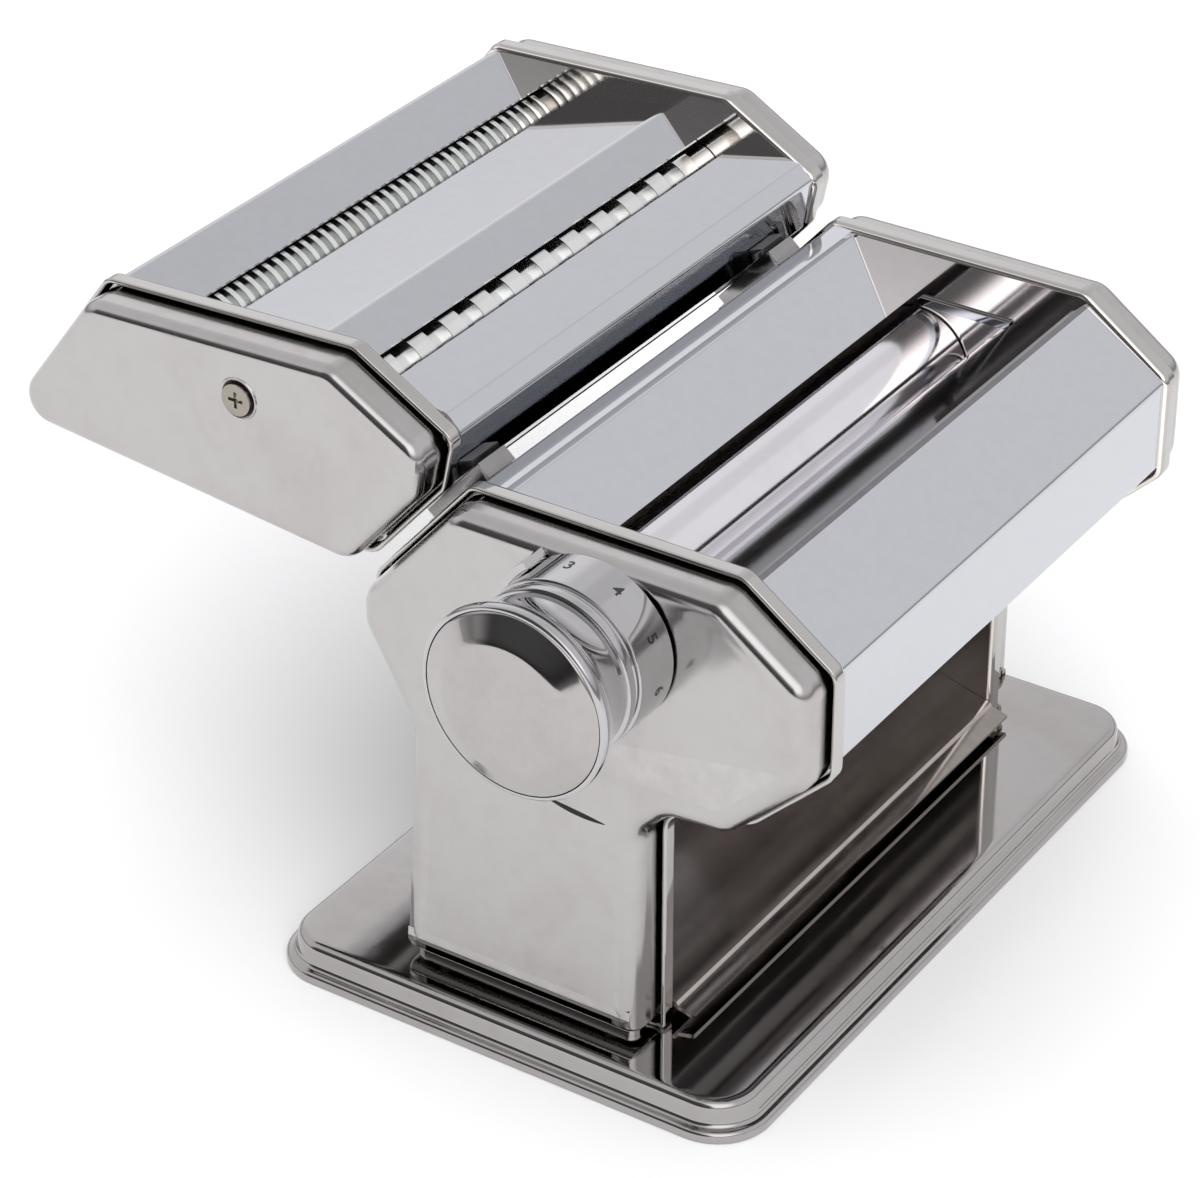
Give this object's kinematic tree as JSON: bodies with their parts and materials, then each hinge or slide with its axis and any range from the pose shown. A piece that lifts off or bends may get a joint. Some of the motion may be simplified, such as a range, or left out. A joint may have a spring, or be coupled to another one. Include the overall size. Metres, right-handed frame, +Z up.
{
  "type": "pasta machine",
  "caption": "Hand-cranked pasta roller on a stamped base: smooth dough rollers with a turn-to-set gap knob, and a lift-off cutter attachment with a fine and a wide noodle slot.",
  "frame": {"origin": "underside of the base, at the middle of its length and depth", "axes": "+X along the rollers towards the crank sockets (the gap knob is at -X), -Y is the front where the dough sheet comes out, +Z up"},
  "size_m": [0.225, 0.2155, 0.1619],
  "materials": {
    "polished_steel": "mirror-polished stainless sheet",
    "satin_steel": "plain drawn steel",
    "screw_steel": "plated pan-head screws",
    "nylon": "natural nylon",
    "roller_steel": "ground and plated rollers",
    "gear_steel": "hobbed steel",
    "rubber": "soft black rubber",
    "zinc_sheet": "zinc-plated sheet",
    "knob_chrome": "chrome plate with black dial numbers"
  },
  "bodies": {
    "machine": {"base_plate": "polished_steel", "base_bottom": "zinc_sheet", "base_feet": "rubber", "foot_screws": "screw_steel", "left_frame": "polished_steel", "right_frame": "polished_steel", "left_cover": "polished_steel", "right_cover": "polished_steel", "cover_screws": "screw_steel", "front_panel": "polished_steel", "front_hopper_plate": "polished_steel", "rear_panel": "polished_steel", "rear_hopper_plate": "polished_steel", "dough_tray": "polished_steel", "tie_rods": "satin_steel", "tie_rod_screws": "screw_steel", "rear_bushes": "nylon", "rear_scraper": "satin_steel", "roller_end_strips": "satin_steel", "dial_index": "knob_chrome", "cutter_rails": "satin_steel"},
    "cam": {"cam_shaft": "satin_steel"},
    "knob": {"knob_grip": "knob_chrome", "knob_face": "knob_chrome"},
    "carriage": {"carriage_plates": "satin_steel", "carriage_bars": "satin_steel", "carriage_bushes": "nylon", "front_scraper": "satin_steel"},
    "rear_roller_set": {"rear_roller": "roller_steel", "rear_gear": "gear_steel"},
    "front_roller_set": {"front_roller": "roller_steel", "front_gear": "gear_steel"},
    "cutter": {"cutter_hooks": "satin_steel", "cutter_left_frame": "polished_steel", "cutter_right_frame": "polished_steel", "cutter_left_cover": "polished_steel", "cutter_right_cover": "polished_steel", "cutter_rear_plate": "polished_steel", "cutter_centre_plate": "polished_steel", "cutter_front_plate": "polished_steel", "cutter_tie_rods": "satin_steel", "cutter_screws": "screw_steel", "cutter_bushes": "nylon", "fine_combs": "satin_steel", "wide_combs": "satin_steel"},
    "fine_rear_set": {"fine_rear_cutter": "roller_steel", "fine_rear_gear": "gear_steel"},
    "fine_front_set": {"fine_front_cutter": "roller_steel", "fine_front_gear": "gear_steel"},
    "wide_rear_set": {"wide_rear_cutter": "roller_steel", "wide_rear_gear": "gear_steel"},
    "wide_front_set": {"wide_front_cutter": "roller_steel", "wide_front_gear": "gear_steel"}
  },
  "joints": [
    {"name": "roller_spin", "type": "hinge", "parent": "machine", "child": "rear_roller_set", "pos_m": [0, -0.008, 0.1064], "axis": [1, 0, 0], "continuous": true},
    {"name": "knob_turn", "type": "hinge", "parent": "machine", "child": "cam", "pos_m": [-0.08, -0.021, 0.116], "axis": [-1, 0, 0], "range_deg": [0, 320]},
    {"name": "knob_pull", "type": "slide", "parent": "cam", "child": "knob", "axis": [-1, 0, 0], "range_m": [0, 0.004], "stiffness_N_per_m": 600},
    {"name": "carriage_slide", "type": "slide", "parent": "machine", "child": "carriage", "axis": [0, -1, 0], "range_m": [0, 0.0028]},
    {"name": "front_roller_spin", "type": "hinge", "parent": "carriage", "child": "front_roller_set", "pos_m": [0, -0.0363, 0.1064], "axis": [1, 0, 0], "continuous": true},
    {"name": "cutter_lift", "type": "slide", "parent": "machine", "child": "cutter", "axis": [0, -0.6559, 0.7549], "range_m": [0, 0.08]},
    {"name": "fine_spin", "type": "hinge", "parent": "cutter", "child": "fine_rear_set", "pos_m": [0, 0.1064, 0.1405], "axis": [1, 0, 0], "continuous": true},
    {"name": "fine_front_spin", "type": "hinge", "parent": "cutter", "child": "fine_front_set", "pos_m": [0, 0.089, 0.1405], "axis": [1, 0, 0], "continuous": true},
    {"name": "wide_spin", "type": "hinge", "parent": "cutter", "child": "wide_rear_set", "pos_m": [0, 0.057, 0.1405], "axis": [1, 0, 0], "continuous": true},
    {"name": "wide_front_spin", "type": "hinge", "parent": "cutter", "child": "wide_front_set", "pos_m": [0, 0.0396, 0.1405], "axis": [1, 0, 0], "continuous": true}
  ],
  "couplings": [
    {"joint": "knob_turn", "follows": "carriage_slide", "rad_per_m": 1994.7},
    {"joint": "front_roller_spin", "follows": "roller_spin", "ratio": -1},
    {"joint": "fine_front_spin", "follows": "fine_spin", "ratio": -1},
    {"joint": "wide_front_spin", "follows": "wide_spin", "ratio": -1}
  ]
}
